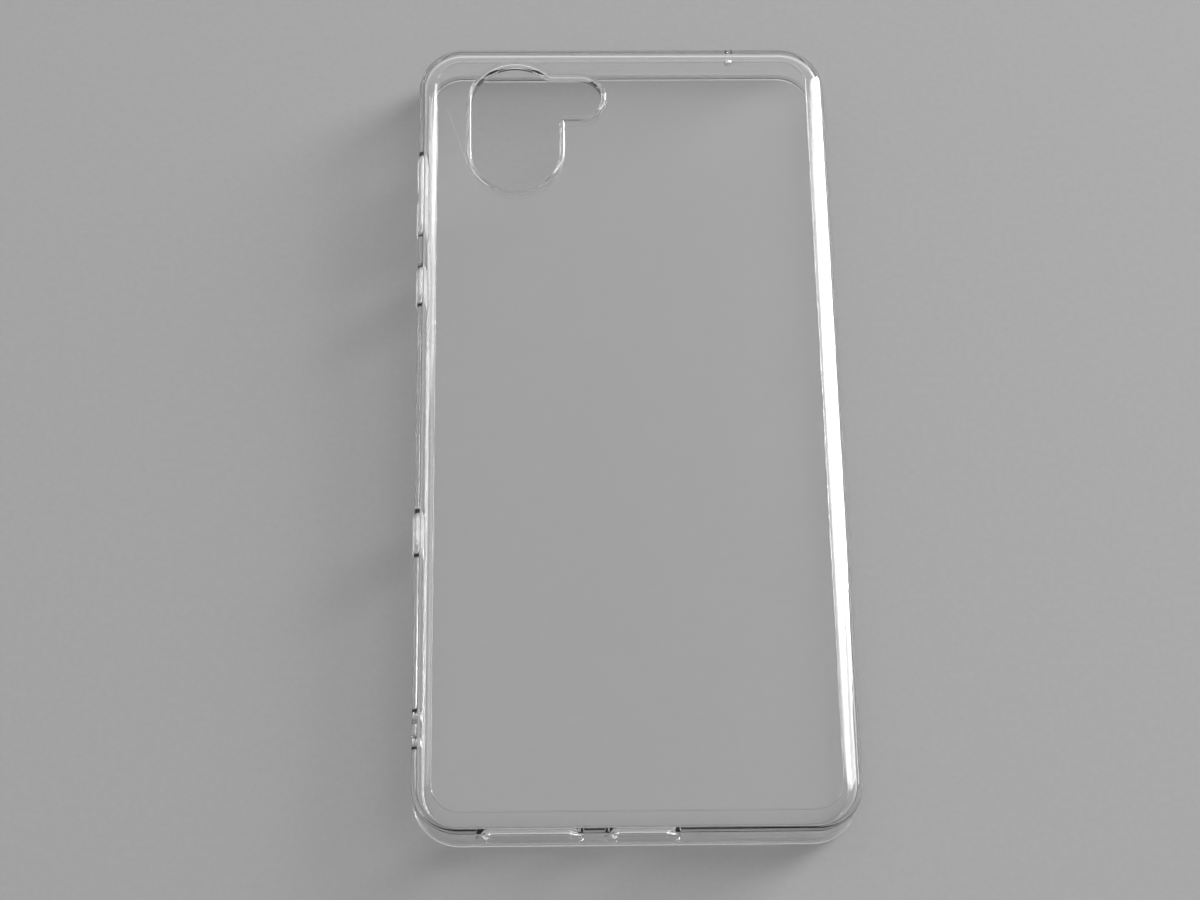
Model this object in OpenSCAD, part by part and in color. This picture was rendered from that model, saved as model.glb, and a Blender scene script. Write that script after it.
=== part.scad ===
// Clear phone case: a hard clear back panel in a soft clear bumper frame,
// a raised guard round the camera cutout, and four press-through key covers.
// The case lies on its open front: the rim is at z = 0 and the back faces up (+Z).
// +Y points to the camera end, and -X is the side with the keys.
// Lengths are in millimetres.

/* [Case] */
// Width over the side walls, without the key pads
case_w = 74; // [70:0.5:80]
// Length over the end walls
case_l = 149; // [145:0.5:165]
// Height from the front rim to the outer face of the back panel
case_h = 10; // [9.5:0.1:12]
// Thickness of the walls and of the back panel
wall = 1.2; // [1.1:0.05:1.4]
// Corner radius in plan, at the outer face
corner_r = 8; // [7:0.5:12]
// Radius of the rounded edge between the back and the walls
edge_r = 3.3; // [3:0.1:3.4]

/* [Front lip] */
// How far the lip reaches in over the edge of the screen
lip_reach = 0.7; // [0.4:0.1:1]
// Thickness of the lip
lip_t = 1.2; // [1:0.1:1.6]

/* [Camera cutout] */
// Width of the camera cutout
camera_w = 16; // [14:0.5:17]
// Length of the camera cutout
camera_l = 25.9; // [24:0.1:30]
// Distance from the key side's outer face to the cutout
camera_side = 9.5; // [8:0.5:12]
// Distance from the camera end's outer face to the cutout
camera_end = 4.5; // [4.5:0.1:6]
// Height of the flash lobe beside the cutout
lobe_h = 8; // [7:0.1:9]
// How far the flash lobe reaches past the cutout
lobe_reach = 7.7; // [6:0.1:9]
// How far the lobe's upper edge lies below the cutout's upper end
lobe_drop = 2.8; // [2.6:0.1:3.4]
// Radius of the blends between the cutout and its lobe
blend_r = 1.2; // [1:0.1:1.5]
// Width of the raised guard round the cutout
guard_w = 0.9; // [0.7:0.1:0.9]
// How far the guard stands above the back
guard_rise = 0.7; // [0.5:0.1:1]

/* [Keys] */
// Height of the key windows
key_h = 3.6; // [3:0.1:4]
// Middle of the volume window along the case
volume_y = 45.1; // [44:0.1:48]
// Length of the volume window
volume_l = 16; // [14:0.1:18]
// Middle of the power window along the case
power_y = 26.6; // [24:0.1:29]
// Length of the power window
power_l = 7.2; // [7:0.1:9]
// Middle of the assistant window along the case
assist_y = -21.1; // [-24:0.1:-16]
// Length of the assistant window
assist_l = 7.5; // [7:0.1:9]
// How far the pads stand proud of the wall
pad_rise = 0.45; // [0.3:0.05:0.6]
// How far a key cover can be pressed in
key_travel = 0.3; // [0.2:0.05:0.35]

/* [Openings in the end walls] */
// Height of the charging and speaker slots
slot_h = 4.8; // [4.4:0.1:5.2]
// Middle of the charging slot across the case
charge_x = 0.8; // [0:0.1:1]
// Width of the charging slot
charge_w = 12.2; // [10:0.1:12.5]
// Middle of the speaker slot across the case
speaker_x = -17.6; // [-19:0.1:-17.4]
// Width of the speaker slot
speaker_w = 17.4; // [15:0.1:17.6]
// Place of the microphone hole across the case
mic_x = 20; // [16:0.5:24]
// Diameter of the microphone hole
mic_d = 1.4; // [1.2:0.1:2]

/* [Strap holes] */
// Middle of the bar between the two strap holes
strap_y = -56; // [-58:0.5:-50]
// Distance between the centres of the strap holes
strap_pitch = 4.5; // [4.2:0.1:5]
// Diameter of the strap holes
strap_d = 2.6; // [2:0.1:2.8]

/* [Hidden] */
$fn = 96;

clear_hard = [0.90, 0.92, 0.93, 0.45];
clear_soft = [0.82, 0.85, 0.87, 0.55];
eps = 0.01;
through = 2;          // how far a cutting tool runs past the face that it cuts
bond_gap = 0.02;      // bond line between pieces that are moulded together

inner_edge_r = edge_r - wall;
mid_z = (lip_t + case_h - wall) / 2;  // half way up the phone that the case holds

rim_r = lip_t / 2;    // round nose of the lip, and round outer edge of the rim

camera_r = camera_w / 2;
camera_x = -case_w / 2 + camera_side + camera_r;
camera_top_y = case_l / 2 - camera_end;
camera_upper_y = camera_top_y - camera_r;
camera_lower_y = camera_top_y - camera_l + camera_r;
lobe_r = lobe_h / 2;
lobe_y = camera_top_y - lobe_drop - lobe_r;
lobe_end_x = camera_x + camera_r + lobe_reach - lobe_r;

key_gap = 0.15;       // clearance round a key cover in its window
key_corner_r = 1.3;   // corner radius of the key windows
shelf_u = wall - 0.5; // depth of the shelf that holds a cover's flange
flange_gap = 0.05;    // clearance between a flange and its shelf
flange_push = 0.1;    // how far a pressed flange stands in past the wall, onto the phone's key
flange_w = 0.5;       // how far the flange reaches past the window
flange_room = 0.25;   // clearance round the flange in its recess
crown_r = 4;          // crown of a pad across its height
dip_w = 4;            // width of the dip between the two volume pads
split_gap = 0.2;      // gap between the two volume covers
dip_r = (pow(dip_w / 2, 2) + pow(pad_rise, 2)) / (2 * pad_rise);

// ---- shared shapes ----

module rounded_rect(size, r) {
    dx = size[0] / 2 - r;
    dy = size[1] / 2 - r;
    square([size[0], 2 * dy], center = true);
    square([2 * dx, size[1]], center = true);
    for (sx = [-1, 1], sy = [-1, 1]) {
        translate([sx * dx, sy * dy]) circle(r);
    }
}

// Carries a wall profile, drawn with x as the depth from the outer face and y as the height,
// all the way round the case.
module around_case() {
    for (side = [0:3]) {
        half_x = (side % 2 == 0 ? case_w : case_l) / 2 - corner_r;
        half_y = (side % 2 == 0 ? case_l : case_w) / 2 - corner_r;
        rotate([0, 0, 90 * side]) {
            translate([half_x, 0, 0])
                rotate([90, 0, 0])
                    linear_extrude(2 * half_y, center = true) turned_profile() children();
            translate([half_x, half_y, 0])
                rotate_extrude(angle = 90) turned_profile() children();
        }
    }
}

module turned_profile() {
    translate([corner_r, 0]) mirror([1, 0]) children();
}

// Places a drawing on the key-side wall, at a depth from its outer face:
// its x runs along the case, its y runs up, and it is extruded inwards.
module on_key_wall(y, depth) {
    translate([-case_w / 2 + depth, y, mid_z]) rotate([90, 0, 90]) children();
}

// ---- back panel ----

// Column in the shape of the camera cutout, grown outwards by the given amount.
module camera_column(grow, height) {
    main_r = camera_r + grow;
    side_r = lobe_r + grow;
    fillet_r = blend_r - grow;
    // upper blend: touches the round upper end and the lobe's upper edge
    upper_cy = lobe_y + side_r + fillet_r;
    upper_cx = camera_x + sqrt(pow(main_r + fillet_r, 2) - pow(upper_cy - camera_upper_y, 2));
    // lower blend: touches the straight side and the lobe's lower edge
    lower_cx = camera_x + main_r + fillet_r;
    lower_cy = lobe_y - side_r - fillet_r;

    for (y = [camera_lower_y, camera_upper_y]) {
        translate([camera_x, y, 0]) cylinder(h = height, r = main_r);
    }
    translate([camera_x - main_r, camera_lower_y, 0])
        cube([2 * main_r, camera_upper_y - camera_lower_y, height]);
    translate([lobe_end_x, lobe_y, 0]) cylinder(h = height, r = side_r);
    translate([camera_x, lobe_y - side_r, 0]) cube([lobe_end_x - camera_x, 2 * side_r, height]);
    difference() {
        linear_extrude(height)
            polygon([
                [camera_x, camera_upper_y],
                [upper_cx, upper_cy],
                [upper_cx, lobe_y]
            ]);
        translate([upper_cx, upper_cy, -through])
            cylinder(h = height + 2 * through, r = fillet_r - eps);
    }
    difference() {
        translate([camera_x, lower_cy, 0]) cube([lower_cx - camera_x, fillet_r + eps, height]);
        translate([lower_cx, lower_cy, -through])
            cylinder(h = height + 2 * through, r = fillet_r - eps);
    }
}

module back_panel() {
    inset = 2 * (edge_r + bond_gap);
    color(clear_hard)
    translate([0, 0, case_h - wall])
        difference() {
            linear_extrude(wall)
                rounded_rect([case_w - inset, case_l - inset], corner_r - edge_r - bond_gap);
            translate([0, 0, -through])
                camera_column(guard_w + bond_gap, wall + 2 * through);
        }
}

module camera_guard() {
    color(clear_soft)
    translate([0, 0, case_h - wall])
        difference() {
            camera_column(guard_w, wall + guard_rise);
            translate([0, 0, -through])
                camera_column(0, wall + guard_rise + 2 * through);
        }
}

// ---- bumper frame ----

// Section of the wall, from the lip at the front to the rounded edge at the back.
module wall_profile() {
    shoulder_z = case_h - edge_r;
    translate([0, rim_r]) square([wall, shoulder_z - rim_r]);
    translate([rim_r, 0]) square([wall + lip_reach - 2 * rim_r, lip_t]);
    for (u = [rim_r, wall + lip_reach - rim_r]) {
        translate([u, rim_r]) circle(rim_r);
    }
    intersection() {
        translate([edge_r, shoulder_z]) difference() {
            circle(edge_r);
            circle(inner_edge_r);
        }
        translate([0, shoulder_z]) square([edge_r, edge_r]);
    }
}

// Window for a key cover, with the wider recess behind it that holds the cover's flange.
module key_window(y, length) {
    recess = 2 * (flange_w + flange_room);
    on_key_wall(y, -through)
        linear_extrude(through + wall) rounded_rect([length, key_h], key_corner_r);
    on_key_wall(y, shelf_u)
        linear_extrude(through)
            rounded_rect([length + recess, key_h + recess], key_corner_r + recess / 2);
}

// Round-ended slot through the end wall at the charging end.
module end_slot(x, width) {
    translate([x, -case_l / 2 - through, mid_z])
        rotate([-90, 0, 0])
            linear_extrude(2 * through + wall)
                rounded_rect([width, slot_h], slot_h / 2 - eps);
}

module strap_holes() {
    for (side = [-1, 1]) {
        on_key_wall(strap_y + side * strap_pitch / 2, -through)
            cylinder(h = 2 * through + wall, d = strap_d);
    }
}

module mic_hole() {
    translate([mic_x, case_l / 2 - wall - through, mid_z])
        rotate([-90, 0, 0])
            cylinder(h = 2 * through + wall, d = mic_d);
}

module bumper_frame() {
    color(clear_soft)
    difference() {
        around_case() wall_profile();
        key_window(volume_y, volume_l);
        key_window(power_y, power_l);
        key_window(assist_y, assist_l);
        end_slot(charge_x, charge_w);
        end_slot(speaker_x, speaker_w);
        strap_holes();
        mic_hole();
    }
}

// ---- key covers ----

// Cover that fills a key window: a crowned pad outside, and a flange behind the wall.
module key_cover(y, length) {
    plug = [length - 2 * key_gap, key_h - 2 * key_gap];
    flange = [length + 2 * flange_w, key_h + 2 * flange_w];
    flange_u = shelf_u + flange_gap;
    flange_t = wall + flange_push - key_travel - flange_u;
    color(clear_soft) {
        intersection() {
            on_key_wall(y, -pad_rise)
                linear_extrude(pad_rise + flange_u + eps)
                    rounded_rect(plug, key_corner_r - key_gap);
            translate([-case_w / 2 - pad_rise + crown_r, y, mid_z])
                rotate([90, 0, 0])
                    cylinder(h = length, r = crown_r, center = true);
        }
        on_key_wall(y, flange_u)
            linear_extrude(flange_t) rounded_rect(flange, key_corner_r + flange_w);
    }
}

// One end of the volume cover: +1 for the end nearer the camera, -1 for the other end.
// The cover dips between its two pads, and is split there so that each pad moves alone.
module volume_cover(end) {
    color(clear_soft)
    difference() {
        intersection() {
            key_cover(volume_y, volume_l);
            translate([-case_w / 2, volume_y + end * (volume_l + split_gap) / 2, mid_z])
                cube([2 * crown_r, volume_l, 2 * key_h], center = true);
        }
        translate([-case_w / 2 - dip_r, volume_y, mid_z])
            cylinder(h = 2 * key_h, r = dip_r, center = true);
    }
}

module volume_up_cover() volume_cover(1);

module volume_down_cover() volume_cover(-1);

module power_key_cover() key_cover(power_y, power_l);

module assist_key_cover() key_cover(assist_y, assist_l);

back_panel();
bumper_frame();
camera_guard();
volume_up_cover();
volume_down_cover();
power_key_cover();
assist_key_cover();
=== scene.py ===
import math

import bmesh
import bpy
from mathutils import Matrix, Vector


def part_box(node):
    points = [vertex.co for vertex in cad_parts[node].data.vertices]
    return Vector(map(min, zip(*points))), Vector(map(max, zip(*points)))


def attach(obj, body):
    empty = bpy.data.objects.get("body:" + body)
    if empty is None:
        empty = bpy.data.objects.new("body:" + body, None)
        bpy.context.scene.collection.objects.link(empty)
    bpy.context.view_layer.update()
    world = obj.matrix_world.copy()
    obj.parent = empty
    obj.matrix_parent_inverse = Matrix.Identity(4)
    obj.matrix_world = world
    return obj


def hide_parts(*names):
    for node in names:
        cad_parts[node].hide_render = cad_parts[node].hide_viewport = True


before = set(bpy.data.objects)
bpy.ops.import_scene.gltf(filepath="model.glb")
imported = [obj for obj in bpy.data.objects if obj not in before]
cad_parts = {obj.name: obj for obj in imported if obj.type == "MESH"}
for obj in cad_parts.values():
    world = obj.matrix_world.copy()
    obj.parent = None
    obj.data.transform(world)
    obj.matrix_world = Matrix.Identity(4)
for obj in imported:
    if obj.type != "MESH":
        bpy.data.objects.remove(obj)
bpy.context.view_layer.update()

# Clear phone case, lying on its open front with its back up. Lengths are in metres.
# +Y points to the camera end, and -X is the side with the keys.
MM = 0.001

# ---- sizes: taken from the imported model, and the few radii that a box can't give ----

frame_lo, frame_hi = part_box("bumper_frame")
panel_lo, panel_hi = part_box("back_panel")
guard_lo, guard_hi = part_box("camera_guard")

BOND_GAP = 0.02 * MM       # bond line between the panel, the guard and the frame
CORNER_R = 8.0 * MM        # corner of the case in plan
LIP_REACH = 0.7 * MM       # how far the front lip overhangs the screen
LIP_T = 1.2 * MM
GUARD_W = 0.9 * MM
LOBE_R = 4.0 * MM
LOBE_DROP = 2.8 * MM       # from the cutout's upper end down to the lobe's upper edge
BLEND_R = 1.2 * MM         # blends between the cutout and its lobe
CAMERA_R = 8.0 * MM

case_half_w = frame_hi.x
case_half_l = frame_hi.y
case_h = frame_hi.z
wall = panel_hi.z - panel_lo.z
edge_r = frame_hi.x - panel_hi.x - BOND_GAP
mid_z = (LIP_T + case_h - wall) / 2

camera_x = guard_lo.x + GUARD_W + CAMERA_R
camera_top_y = guard_hi.y - GUARD_W
camera_lower_y = guard_lo.y + GUARD_W + CAMERA_R
camera_upper_y = camera_top_y - CAMERA_R
lobe_y = camera_top_y - LOBE_DROP - LOBE_R
lobe_end_x = guard_hi.x - GUARD_W - LOBE_R

# Key covers and their windows in the -X wall
KEY_GAP = 0.15 * MM        # clearance round a cover in its window
KEY_CORNER_R = 1.3 * MM
FLANGE_W = 0.5 * MM        # how far a cover's flange reaches past its window
FLANGE_ROOM = 0.25 * MM    # clearance round the flange in its recess
FLANGE_GAP = 0.05 * MM     # clearance between a flange and its shelf
SHELF_U = wall - 0.5 * MM  # depth of the shelf behind the window
CROWN_R = 4.0 * MM         # crown of a pad across its height
DIP_W = 4.0 * MM           # width of the dip between the two volume pads

# Openings in the end walls, and the strap holes
SLOT_H = 4.8 * MM
CHARGE_X, CHARGE_W = 0.8 * MM, 12.2 * MM
SPEAKER_X, SPEAKER_W = -17.6 * MM, 17.4 * MM
MIC_X, MIC_D = 20.0 * MM, 1.4 * MM
STRAP_Y, STRAP_PITCH, STRAP_D = -56.0 * MM, 4.5 * MM, 2.6 * MM

EDGE_H = 2.0 * MM          # height of the oval edge between the back and the walls
INNER_EDGE_H = 1.2 * MM    # the same on the inside
CUT_EDGE_R = 0.14 * MM     # rounding of the edges of each opening
SEAM_EDGE_R = 0.04 * MM    # rounding of the edges along the bond lines

WELD = 0.002 * MM          # points nearer than this are one point
SHORTEST_EDGE = 0.001 * MM
CREASE = 35                # edges sharper than this, in degrees, stay sharp when shaded

# Corners of a rectangle, counter-clockwise: signs of x and y, and where the corner's arc starts
CORNERS = ((1, 1, 0), (-1, 1, 90), (-1, -1, 180), (1, -1, 270))


# ---- outlines and profiles ----

def oval_arc(cx, cy, rx, ry, start, end, steps):
    """Points on an arc of an ellipse, both ends included, with angles in degrees."""
    points = []
    for i in range(steps + 1):
        a = math.radians(start + (end - start) * i / steps)
        points.append((cx + rx * math.cos(a), cy + ry * math.sin(a)))
    return points


def arc(cx, cy, r, start, end, steps):
    return oval_arc(cx, cy, r, r, start, end, steps)


def circle(r, steps):
    """Points all round a circle about the origin, without repeating the first."""
    return arc(0, 0, r, 0, 360 - 360 / steps, steps - 1)


def rounded_rect(half_x, half_y, r, steps=8):
    """Outline of a rounded rectangle round the origin, counter-clockwise."""
    dx, dy = half_x - r, half_y - r
    points = []
    for sx, sy, start in CORNERS:
        points += arc(sx * dx, sy * dy, r, start, start + 90, steps)
    return points


def case_outline(inset):
    return rounded_rect(case_half_w - inset, case_half_l - inset, CORNER_R - inset, steps=28)


def camera_outline(grow):
    """The camera cutout with its lobe, grown outwards, counter-clockwise."""
    main_r = CAMERA_R + grow
    side_r = LOBE_R + grow
    blend_r = BLEND_R - grow
    upper_cy = lobe_y + side_r + blend_r
    rise = upper_cy - camera_upper_y
    upper_cx = camera_x + math.sqrt((main_r + blend_r) ** 2 - rise ** 2)
    touch = math.degrees(math.asin(rise / (main_r + blend_r)))
    lower_cx = camera_x + main_r + blend_r
    lower_cy = lobe_y - side_r - blend_r
    points = arc(camera_x, camera_upper_y, main_r, touch, 180, steps=40)
    points += arc(camera_x, camera_lower_y, main_r, 180, 360, steps=56)
    points += arc(lower_cx, lower_cy, blend_r, 180, 90, steps=8)
    points += arc(lobe_end_x, lobe_y, side_r, -90, 90, steps=32)
    points += arc(upper_cx, upper_cy, blend_r, 270, 180 + touch, steps=8)
    return points


def wall_profile():
    """Closed section of the bumper's wall as (depth from the outer face, height).

    The two oval arcs stop just short of 90 degrees, to leave room for the seam's rounding."""
    rim_r = LIP_T / 2
    nose = wall + LIP_REACH - rim_r
    root_r = 0.3 * MM       # fillet where the lip meets the wall
    seam = SEAM_EDGE_R
    points = arc(rim_r, rim_r, rim_r, 270, 180, 10)
    points += oval_arc(edge_r, case_h - EDGE_H, edge_r, EDGE_H, 180, 91, 30)
    points += arc(edge_r - seam, case_h - seam, seam, 90, 0, 4)
    points += arc(edge_r - seam, case_h - wall + seam, seam, 0, -90, 4)
    points += oval_arc(edge_r, case_h - wall - INNER_EDGE_H, edge_r - wall, INNER_EDGE_H, 92, 180, 24)
    points += arc(wall + root_r, LIP_T + root_r, root_r, 180, 270, 5)
    points += arc(nose, rim_r, rim_r, 90, -90, 16)
    return points


# ---- meshes ----

def loft(bm, loops, close=False, cap=False):
    """Joins loops of points, each of the same length, with quads."""
    rows = [[bm.verts.new(p) for p in loop] for loop in loops]
    pairs = list(zip(rows, rows[1:]))
    if close:
        pairs.append((rows[-1], rows[0]))
    for a, b in pairs:
        for i in range(len(a)):
            j = (i + 1) % len(a)
            bm.faces.new((a[i], a[j], b[j], b[i]))
    if cap:
        bm.faces.new(rows[0])
        bm.faces.new(rows[-1])
    return rows


def level(outline, z):
    return [(x, y, z) for x, y in outline]


def finished(bm, name):
    """Turns a bmesh into an object with outward faces and welded points."""
    bmesh.ops.remove_doubles(bm, verts=bm.verts, dist=WELD)
    bmesh.ops.dissolve_degenerate(bm, edges=bm.edges, dist=SHORTEST_EDGE)
    bmesh.ops.recalc_face_normals(bm, faces=bm.faces)
    mesh = bpy.data.meshes.new(name)
    bm.to_mesh(mesh)
    bm.free()
    obj = bpy.data.objects.new(name, mesh)
    bpy.context.scene.collection.objects.link(obj)
    return obj


def apply_modifiers(obj):
    graph = bpy.context.evaluated_depsgraph_get()
    mesh = bpy.data.meshes.new_from_object(obj.evaluated_get(graph), depsgraph=graph)
    obj.modifiers.clear()
    obj.data = mesh


def shade(obj):
    """Smooth shading that keeps flat faces flat and breaks at real edges."""
    mesh = obj.data
    mesh.shade_smooth()
    mesh.set_sharp_from_angle(angle=math.radians(CREASE))
    weighted = obj.modifiers.new("weighted", "WEIGHTED_NORMAL")
    weighted.keep_sharp = True
    apply_modifiers(obj)


# A wall's own places: across and up on the wall, and a depth from its outer face.
def on_key_wall(y):
    return lambda a, b, u: (frame_lo.x + u, y + a, mid_z + b)


def on_port_wall(x):
    return lambda a, b, u: (x + a, frame_lo.y + u, mid_z + b)


def on_camera_wall(x):
    return lambda a, b, u: (x + a, frame_hi.y - u, mid_z + b)


def flared_steps(depth, both_sides):
    """(depth, growth) of a cutter whose mouths are rounded off."""
    r = CUT_EDGE_R
    over = 2 * MM
    mouth = [(r - r * math.cos(math.radians(a)), r - r * math.sin(math.radians(a)))
             for a in range(0, 91, 15)]
    steps = [(-over, r)] + mouth
    if both_sides:
        steps += [(depth - u, grow) for u, grow in reversed(mouth)] + [(depth + over, r)]
    else:
        steps.append((depth, 0))
    return steps


def cut_through(bm, place, outline):
    """Adds a cutter for an opening right through a wall, with both mouths rounded."""
    loops = [[place(a, b, u) for a, b in outline(grow)]
             for u, grow in flared_steps(wall, both_sides=True)]
    loft(bm, loops, cap=True)


def cut_key_window(bm, y, half_l, half_h):
    """Adds a cutter for a key window and for the recess behind it."""
    place = on_key_wall(y)
    recess = FLANGE_W + FLANGE_ROOM
    through = 3 * MM
    steps = flared_steps(SHELF_U, both_sides=False)
    steps += [(SHELF_U, recess), (SHELF_U + through, recess)]
    loops = [[place(a, b, u)
              for a, b in rounded_rect(half_l + grow, half_h + grow, KEY_CORNER_R + grow)]
             for u, grow in steps]
    loft(bm, loops, cap=True)


def key_span(*nodes):
    """Middle along the case, half length and half height of the window for these covers."""
    boxes = [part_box(n) for n in nodes]
    low_y = min(lo.y for lo, hi in boxes) + FLANGE_W
    high_y = max(hi.y for lo, hi in boxes) - FLANGE_W
    half_h = (boxes[0][1].z - boxes[0][0].z) / 2 - FLANGE_W
    return (low_y + high_y) / 2, (high_y - low_y) / 2, half_h


def make_bumper():
    bm = bmesh.new()
    loft(bm, [level(case_outline(u), z) for u, z in wall_profile()], close=True)
    bumper = finished(bm, "clear_bumper_frame")

    bm = bmesh.new()
    cut_key_window(bm, *key_span("volume_up_cover", "volume_down_cover"))
    cut_key_window(bm, *key_span("power_key_cover"))
    cut_key_window(bm, *key_span("assist_key_cover"))
    end_flat = 0.01 * MM    # half the short flat that is left at the end of a slot
    for x, width in ((CHARGE_X, CHARGE_W), (SPEAKER_X, SPEAKER_W)):
        cut_through(bm, on_port_wall(x), lambda grow: rounded_rect(
            width / 2 + grow, SLOT_H / 2 + grow, SLOT_H / 2 + grow - end_flat, steps=16))
    for side in (-1, 1):
        cut_through(bm, on_key_wall(STRAP_Y + side * STRAP_PITCH / 2),
                    lambda grow: circle(STRAP_D / 2 + grow, 48))
    cut_through(bm, on_camera_wall(MIC_X), lambda grow: circle(MIC_D / 2 + grow, 24))
    cutter = finished(bm, "cutter")

    cut = bumper.modifiers.new("openings", "BOOLEAN")
    cut.object = cutter
    cut.operation = "DIFFERENCE"
    cut.solver = "EXACT"
    apply_modifiers(bumper)
    bpy.data.objects.remove(cutter)
    shade(bumper)
    return bumper


def make_panel():
    """Flat plate with softened edges, cut out for the camera guard."""
    r = SEAM_EDGE_R
    edge = [(r - r * math.cos(math.radians(a)), r - r * math.sin(math.radians(a)))
            for a in range(0, 91, 30)]
    steps = [(inset, panel_lo.z + lift) for inset, lift in reversed(edge)]
    steps += [(inset, panel_hi.z - lift) for inset, lift in edge]
    outer_inset = edge_r + BOND_GAP
    hole_grow = GUARD_W + BOND_GAP
    bm = bmesh.new()
    outer = loft(bm, [level(case_outline(outer_inset + inset), z) for inset, z in steps])
    hole = loft(bm, [level(camera_outline(hole_grow + inset), z) for inset, z in steps])
    for row in (0, -1):
        rim = []
        for ring in (outer[row], hole[row]):
            for a, b in zip(ring, ring[1:] + ring[:1]):
                rim.append(bm.edges.get((a, b)))
        bmesh.ops.triangle_fill(bm, edges=rim, use_beauty=True)
    panel = finished(bm, "clear_back_panel")
    shade(panel)
    return panel


def make_guard():
    """Raised rim round the camera cutout, rounded along its top."""
    top_r = 0.36 * MM
    foot_r = SEAM_EDGE_R
    profile = arc(foot_r, guard_lo.z + foot_r, foot_r, 270, 180, 3)
    profile += arc(top_r, guard_hi.z - top_r, top_r, 180, 90, 9)
    profile += arc(GUARD_W - top_r, guard_hi.z - top_r, top_r, 90, 0, 9)
    profile += arc(GUARD_W - foot_r, guard_lo.z + foot_r, foot_r, 0, -90, 3)
    bm = bmesh.new()
    loft(bm, [level(camera_outline(grow), z) for grow, z in profile], close=True)
    guard = finished(bm, "clear_camera_guard")
    shade(guard)
    return guard


def make_key_cover(name, node, split_y=None):
    """Crowned pad with a flange behind the wall. split_y is the plane that parts the two
    volume pads, where this cover has a square end and dips."""
    lo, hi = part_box(node)
    pad_u = lo.x - frame_lo.x            # negative: proud of the wall
    square_end_r = 0.12 * MM
    least_r = 0.02 * MM
    side_steps = 20                      # the long sides follow the dip, so they're divided
    back_u = hi.x - frame_lo.x
    flange_u = SHELF_U + FLANGE_GAP
    half_h = (hi.z - lo.z) / 2 - FLANGE_W - KEY_GAP
    at_low = split_y is not None and lo.y > split_y
    at_high = split_y is not None and hi.y < split_y

    def outline(grow):
        """Plug outline grown by some amount; the square end doesn't grow past its plane."""
        reach = FLANGE_W + KEY_GAP
        low_y = lo.y - min(grow, 0) if at_low else lo.y + reach - grow
        high_y = hi.y + min(grow, 0) if at_high else hi.y - reach + grow
        middle, half_l = (low_y + high_y) / 2, (high_y - low_y) / 2
        points = []
        for sx, sy, start in CORNERS:
            square_end = (at_high and sx > 0) or (at_low and sx < 0)
            r = square_end_r if square_end else max(KEY_CORNER_R - KEY_GAP + grow, least_r)
            r = min(r, half_h + grow)
            points += arc(sx * (half_l - r), sy * (half_h + grow - r), r, start, start + 90, 6)
            # Known fault: a side that leaves the square end runs past the start of the next
            # corner, because it ends at this corner's radius.
            if sy > 0 and sx > 0:
                points += side_points(points[-1], -(half_l - r), side_steps)
            if sy < 0 and sx < 0:
                points += side_points(points[-1], half_l - r, side_steps)
        return [(middle + a, b) for a, b in points]

    def side_points(start, end_a, steps):
        a0, b0 = start
        return [(a0 + (end_a - a0) * i / steps, b0) for i in range(1, steps)]

    def face_u(y, b):
        """Depth of the pad's outer face: a crown, and the dip between the volume pads."""
        u = pad_u + CROWN_R - math.sqrt(CROWN_R ** 2 - b ** 2)
        if split_y is not None and abs(y - split_y) < DIP_W / 2:
            dip_r = ((DIP_W / 2) ** 2 + pad_u ** 2) / (-2 * pad_u)
            u = max(u, -dip_r + math.sqrt(dip_r ** 2 - (y - split_y) ** 2))
        return u

    # The flange, from its back to where the plug stands on it
    edge = 0.1 * MM
    flange_grow = FLANGE_W + KEY_GAP
    loops = []
    for grow, u in ((flange_grow - edge, back_u), (flange_grow, back_u - edge),
                    (flange_grow, flange_u + edge), (flange_grow - edge, flange_u),
                    (0, flange_u)):
        loops.append([(frame_lo.x + u, y, mid_z + b) for y, b in outline(grow)])

    # The pad: its rounded edge, then rings that close in on its middle line
    pad_edge_r = 0.34 * MM
    rings = 8
    insets = [pad_edge_r * (1 - math.cos(math.radians(a))) for a in range(0, 91, 10)]
    deepest = half_h - 0.004 * MM
    insets += [pad_edge_r + (deepest - pad_edge_r) * i / rings for i in range(1, rings + 1)]
    for inset in insets:
        s = max(pad_edge_r - inset, 0)
        drop = pad_edge_r - math.sqrt(pad_edge_r ** 2 - s ** 2)
        loops.append([(frame_lo.x + face_u(y, b) + drop, y, mid_z + b) for y, b in outline(-inset)])
    bm = bmesh.new()
    rows = loft(bm, loops)
    bm.faces.new(rows[0])
    close_up = 0.02 * MM
    bmesh.ops.remove_doubles(bm, verts=rows[-1], dist=close_up)
    cover = finished(bm, name)
    shade(cover)
    return cover


# ---- materials ----

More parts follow.
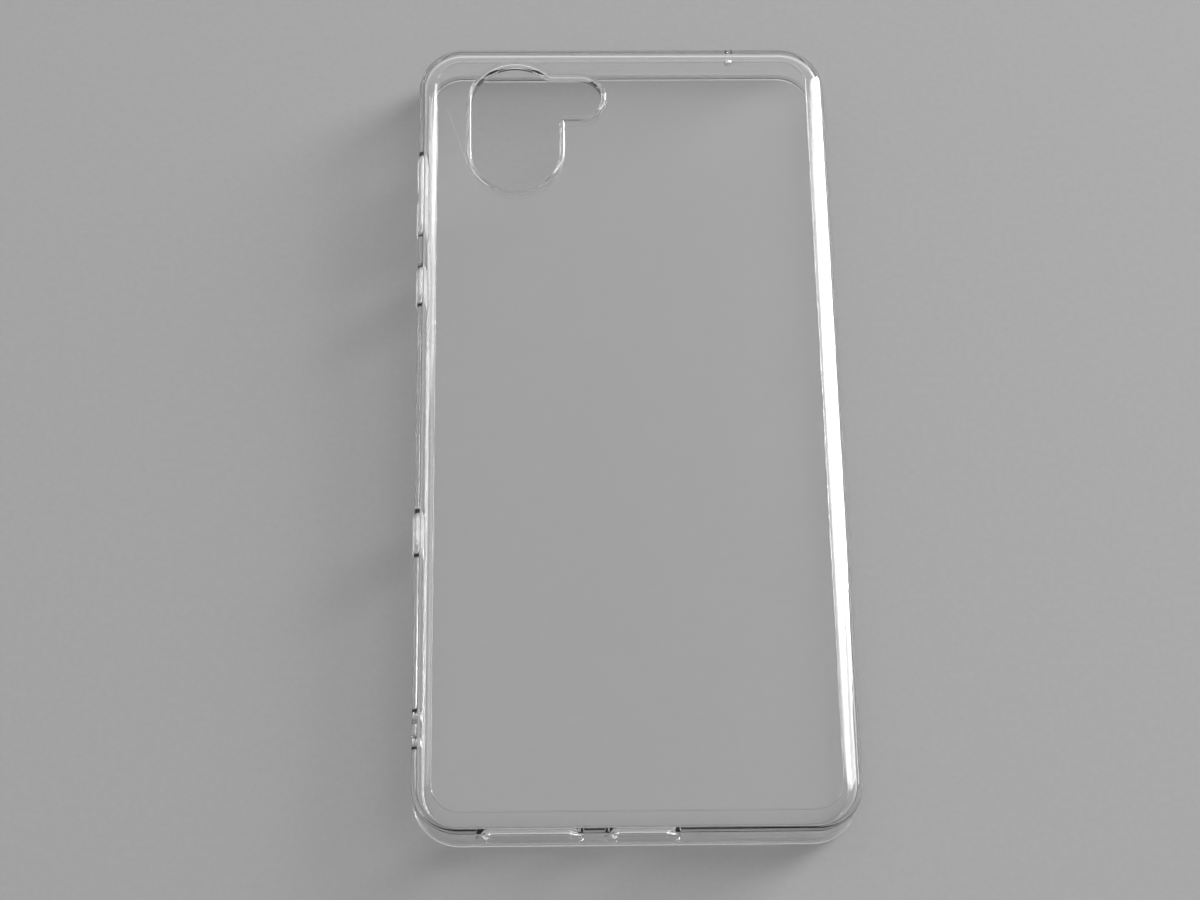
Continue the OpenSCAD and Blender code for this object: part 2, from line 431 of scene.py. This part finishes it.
def clear_plastic(name, tint, ior, roughness, ripple, light_through, clarity=1):
    """Clear moulded plastic: glass-like, with uneven gloss and soft ripples."""
    mat = bpy.data.materials.new(name)
    mat.use_nodes = True
    nodes = mat.node_tree.nodes
    links = mat.node_tree.links
    shader = nodes["Principled BSDF"]
    shader.inputs["Base Color"].default_value = (tint, tint, tint, 1)
    shader.inputs["IOR"].default_value = ior
    shader.inputs["Transmission Weight"].default_value = clarity

    place = nodes.new("ShaderNodeTexCoord")
    gloss = nodes.new("ShaderNodeTexNoise")
    gloss.inputs["Scale"].default_value = 90
    gloss.inputs["Detail"].default_value = 4
    links.new(place.outputs["Object"], gloss.inputs["Vector"])
    rough = nodes.new("ShaderNodeMapRange")
    rough.inputs["From Min"].default_value = 0.3
    rough.inputs["From Max"].default_value = 0.75
    rough.inputs["To Min"].default_value = roughness * 0.5
    rough.inputs["To Max"].default_value = roughness * 1.6
    links.new(gloss.outputs["Fac"], rough.inputs["Value"])
    links.new(rough.outputs["Result"], shader.inputs["Roughness"])

    waves = nodes.new("ShaderNodeTexNoise")
    waves.inputs["Scale"].default_value = 160
    waves.inputs["Detail"].default_value = 2
    links.new(place.outputs["Object"], waves.inputs["Vector"])
    bump = nodes.new("ShaderNodeBump")
    bump.inputs["Strength"].default_value = 1
    bump.inputs["Distance"].default_value = ripple
    links.new(waves.outputs["Fac"], bump.inputs["Height"])
    links.new(bump.outputs["Normal"], shader.inputs["Normal"])

    let_light_through(mat, shader, *light_through)
    return mat


# Places of the colour sockets on a Mix node
MIX_FACTOR, MIX_A, MIX_B, MIX_RESULT = 0, 6, 7, 2


def let_light_through(mat, shader, straight, slanting):
    """Lamps shine through the plastic, dimmed where they cross it at a slant."""
    nodes = mat.node_tree.nodes
    links = mat.node_tree.links
    ray = nodes.new("ShaderNodeLightPath")
    either = nodes.new("ShaderNodeMath")
    either.operation = "MAXIMUM"
    links.new(ray.outputs["Is Shadow Ray"], either.inputs[0])
    links.new(ray.outputs["Is Diffuse Ray"], either.inputs[1])
    slant = nodes.new("ShaderNodeLayerWeight")
    slant.inputs["Blend"].default_value = 0.35
    dim = nodes.new("ShaderNodeMix")
    dim.data_type = "RGBA"
    dim.inputs[MIX_A].default_value = (straight, straight, straight, 1)
    dim.inputs[MIX_B].default_value = (slanting, slanting, slanting, 1)
    links.new(slant.outputs["Facing"], dim.inputs[MIX_FACTOR])
    clear = nodes.new("ShaderNodeBsdfTransparent")
    links.new(dim.outputs[MIX_RESULT], clear.inputs["Color"])
    mix = nodes.new("ShaderNodeMixShader")
    links.new(either.outputs[0], mix.inputs[0])
    links.new(shader.outputs[0], mix.inputs[1])
    links.new(clear.outputs[0], mix.inputs[2])
    links.new(mix.outputs[0], nodes["Material Output"].inputs["Surface"])


def table_top():
    """Pale grey matt board with a faint mottle."""
    mat = bpy.data.materials.new("table_top")
    mat.use_nodes = True
    nodes = mat.node_tree.nodes
    links = mat.node_tree.links
    shader = nodes["Principled BSDF"]
    shader.inputs["Roughness"].default_value = 0.75
    shader.inputs["Specular IOR Level"].default_value = 0.2
    place = nodes.new("ShaderNodeTexCoord")
    mottle = nodes.new("ShaderNodeTexNoise")
    mottle.inputs["Scale"].default_value = 900
    mottle.inputs["Detail"].default_value = 6
    links.new(place.outputs["Object"], mottle.inputs["Vector"])
    ramp = nodes.new("ShaderNodeValToRGB")
    ramp.color_ramp.elements[0].position = 0.25
    ramp.color_ramp.elements[0].color = (0.182, 0.182, 0.182, 1)
    ramp.color_ramp.elements[1].position = 0.75
    ramp.color_ramp.elements[1].color = (0.194, 0.194, 0.194, 1)
    links.new(mottle.outputs["Fac"], ramp.inputs["Fac"])
    links.new(ramp.outputs["Color"], shader.inputs["Base Color"])
    return mat


def bonded_joint():
    """Faces that are fused to their neighbour: light crosses them without bending."""
    mat = bpy.data.materials.new("bonded_joint")
    mat.use_nodes = True
    shader = mat.node_tree.nodes["Principled BSDF"]
    shader.inputs["IOR"].default_value = 1.0
    shader.inputs["Roughness"].default_value = 0
    shader.inputs["Base Color"].default_value = (1, 1, 1, 1)
    shader.inputs["Transmission Weight"].default_value = 1
    let_light_through(mat, shader, 1, 1)
    return mat


# ---- the object ----

bonded = bonded_joint()

soft_clear = clear_plastic("clear_soft_plastic", tint=0.98, ior=1.50, roughness=0.03,
                           ripple=0.004 * MM, light_through=(0.96, 0.56))
key_clear = clear_plastic("clear_key_plastic", tint=0.99, ior=1.50, roughness=0.12,
                          ripple=0.004 * MM, light_through=(0.85, 0.5), clarity=0.82)
hard_clear = clear_plastic("clear_hard_plastic", tint=0.985, ior=1.56, roughness=0.02,
                           ripple=0.002 * MM, light_through=(0.98, 0.80))


def place_piece(piece, node, body, material, is_bonded=None):
    """Hands a piece over. is_bonded picks the faces that another piece is moulded on to."""
    mesh = piece.data
    mesh.materials.clear()
    mesh.materials.append(material)
    if is_bonded:
        mesh.materials.append(bonded)
        for face in mesh.polygons:
            face.material_index = int(is_bonded(face.center, face.normal))
    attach(piece, body)
    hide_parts(node)


def faces_panel(centre, normal):
    """True on upright faces level with the panel."""
    level_with = panel_lo.z < centre.z < panel_hi.z
    upright = abs(normal.z) < 0.2
    return level_with and upright


def faces_panel_from_frame(centre, normal):
    """True on the frame's inward faces that meet the panel's rim."""
    inwards = centre.x * normal.x + centre.y * normal.y < 0
    near_x = abs(centre.x) < panel_hi.x + wall / 2
    near_y = abs(centre.y) < panel_hi.y + wall / 2
    return faces_panel(centre, normal) and inwards and near_x and near_y


def faces_panel_from_guard(centre, normal):
    return faces_panel(centre, normal) and outside_hole(centre)


def outside_hole(centre):
    """True on the guard's outer wall: nearer to its outer outline than to the hole's."""
    def gap(outline):
        return min(math.hypot(centre.x - x, centre.y - y) for x, y in outline)
    return gap(camera_outline(GUARD_W)) < gap(camera_outline(0))


place_piece(make_bumper(), "bumper_frame", "case", soft_clear, faces_panel_from_frame)
place_piece(make_panel(), "back_panel", "case", hard_clear, faces_panel)
place_piece(make_guard(), "camera_guard", "case", soft_clear, faces_panel_from_guard)

volume_middle = key_span("volume_up_cover", "volume_down_cover")[0]
for node, body, split in (("volume_up_cover", "volume_up", volume_middle),
                          ("volume_down_cover", "volume_down", volume_middle),
                          ("power_key_cover", "power", None),
                          ("assist_key_cover", "assist", None)):
    place_piece(make_key_cover(f"clear_{node}", node, split), node, body, key_clear)


# ---- table, light and camera ----

def make_table():
    half = 3.0             # metres from its middle to its edges
    drop = 0.03 * MM       # the rim and the table never share a plane
    bm = bmesh.new()
    corners = [(-half, -half), (half, -half), (half, half), (-half, half)]
    bm.faces.new([bm.verts.new((x, y, frame_lo.z - drop)) for x, y in corners])
    table = finished(bm, "table")
    table.data.materials.append(table_top())


# Lamps stand for the window and the ceiling whose reflections the photo shows. In metres.
LAMP_DISTANCE = 5.0
WINDOWS = (
    # name, azimuth, width, lowest and highest elevation in degrees, radiance
    ("window_low", 32, 22, 4, 27, 60),
    ("window_high", 33, 22, 27, 59, 10),
)
CEILING_H = 2.5
CEILING_PANELS = (
    # name, left, right, near and far edges, radiance
    ("ceiling_right", 0.62, 1.40, 0.75, 1.62, 4.5),
    ("ceiling_left_near", -1.02, -0.34, 0.73, 1.25, 1.8),
    ("ceiling_left_middle", -1.02, -0.34, 1.25, 1.456, 6),
    ("ceiling_left_far", -1.02, -0.34, 1.456, 1.65, 14),
)
ROOM_NEAR, ROOM_FAR = 0.32, 0.77     # strength of the room's own light at its two ends


def add_lamp(name, size, radiance, location, aim):
    """Rectangular lamp that shines along its own -Z, as bright as radiance all over."""
    light = bpy.data.lights.new(name, "AREA")
    light.shape = "RECTANGLE"
    light.size, light.size_y = size
    light.energy = radiance * math.pi * size[0] * size[1]
    lamp = bpy.data.objects.new(name, light)
    lamp.location = location
    lamp.rotation_mode = "QUATERNION"
    lamp.rotation_quaternion = aim
    bpy.context.scene.collection.objects.link(lamp)


def window(name, azimuth, width, low, high, radiance):
    """Window seen from the case between two elevations. Azimuth is from +X to +Y."""
    az, el = math.radians(azimuth), math.radians((low + high) / 2)
    towards = Vector((math.cos(az) * math.cos(el), math.sin(az) * math.cos(el), math.sin(el)))
    size = [2 * LAMP_DISTANCE * math.tan(math.radians(a / 2)) for a in (width, high - low)]
    add_lamp(name, size, radiance, towards * LAMP_DISTANCE, towards.to_track_quat("Z", "Y"))


def ceiling_panel(name, x0, x1, y0, y1, radiance):
    """Lamp in the ceiling that shines straight down, given by its edges."""
    place = Vector(((x0 + x1) / 2, (y0 + y1) / 2, CEILING_H))
    add_lamp(name, (x1 - x0, y1 - y0), radiance, place, Vector((0, 0, 1)).to_track_quat("Z", "Y"))


def make_camera():
    """Camera above the near end, tilted along the case."""
    data = bpy.data.cameras.new("camera")
    data.lens = 81
    data.sensor_width = 36
    data.clip_start = 0.01
    camera = bpy.data.objects.new("camera", data)
    stand = Vector((-16.96, -197.38, 433.11)) * MM
    tilt, turn, roll = math.radians(24.244), math.radians(-3.537), math.radians(2.874)
    camera.matrix_world = (Matrix.Translation(stand) @ Matrix.Rotation(turn, 4, "Z")
                           @ Matrix.Rotation(tilt, 4, "X") @ Matrix.Rotation(roll, 4, "Z"))
    bpy.context.scene.collection.objects.link(camera)
    bpy.context.scene.camera = camera


def make_world(near, far):
    """Room that is brighter towards the camera end of the case."""
    world = bpy.data.worlds.new("room")
    world.use_nodes = True
    nodes = world.node_tree.nodes
    links = world.node_tree.links
    direction = nodes.new("ShaderNodeTexCoord")
    split = nodes.new("ShaderNodeSeparateXYZ")
    links.new(direction.outputs["Generated"], split.inputs["Vector"])
    ramp = nodes.new("ShaderNodeMapRange")
    ramp.inputs["From Min"].default_value = -1
    ramp.inputs["To Min"].default_value = near
    ramp.inputs["To Max"].default_value = far
    links.new(split.outputs["Y"], ramp.inputs["Value"])
    links.new(ramp.outputs["Result"], nodes["Background"].inputs["Strength"])
    nodes["Background"].inputs["Color"].default_value = (1, 1, 1, 1)
    bpy.context.scene.world = world


make_table()
make_world(ROOM_NEAR, ROOM_FAR)
for window_lamp in WINDOWS:
    window(*window_lamp)
for panel_lamp in CEILING_PANELS:
    ceiling_panel(*panel_lamp)
make_camera()

scene = bpy.context.scene
scene.view_settings.view_transform = "Standard"
scene.cycles.transparent_max_bounces = 32
scene.cycles.transmission_bounces = 24
scene.cycles.max_bounces = 32
scene.cycles.caustics_reflective = False
scene.cycles.caustics_refractive = False
